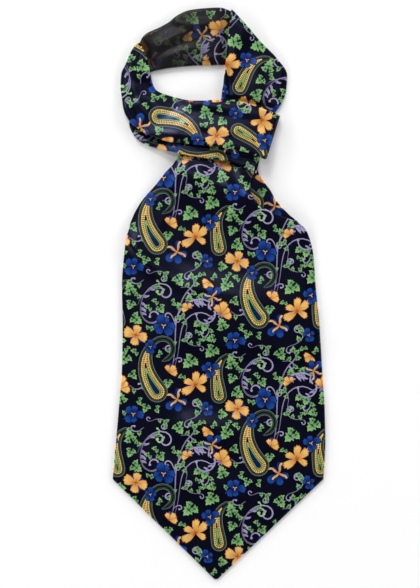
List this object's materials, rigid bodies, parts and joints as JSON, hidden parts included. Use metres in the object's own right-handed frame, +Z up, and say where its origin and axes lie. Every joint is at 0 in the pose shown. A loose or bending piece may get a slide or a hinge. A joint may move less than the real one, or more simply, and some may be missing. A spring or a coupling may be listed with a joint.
{
  "type": "silk cravat",
  "caption": "Silk cravat lying flat: a soft neckband loop whose left arm crosses over the throat above a wide blade that ends in a point.",
  "frame": {"origin": "centre of the footprint on the surface that the cravat lies on", "axes": "+Z up from that surface, +Y from the blade's point to the neckband, +X to the right as seen from above with the point towards the viewer"},
  "size_m": [0.1615, 0.4335, 0.0099],
  "materials": {
    "printed_silk": "printed silk twill, soft sheen",
    "silk_inner_face": "inner face of the same silk, greyer and glossier"
  },
  "bodies": {
    "root": {"front_blade": "printed_silk", "back_blade": "printed_silk", "blade_side_pleat": "printed_silk", "neck_back": "silk_inner_face", "neck_right": "printed_silk", "front_wrap": "printed_silk", "wrap_roll": "printed_silk"}
  },
  "joints": []
}
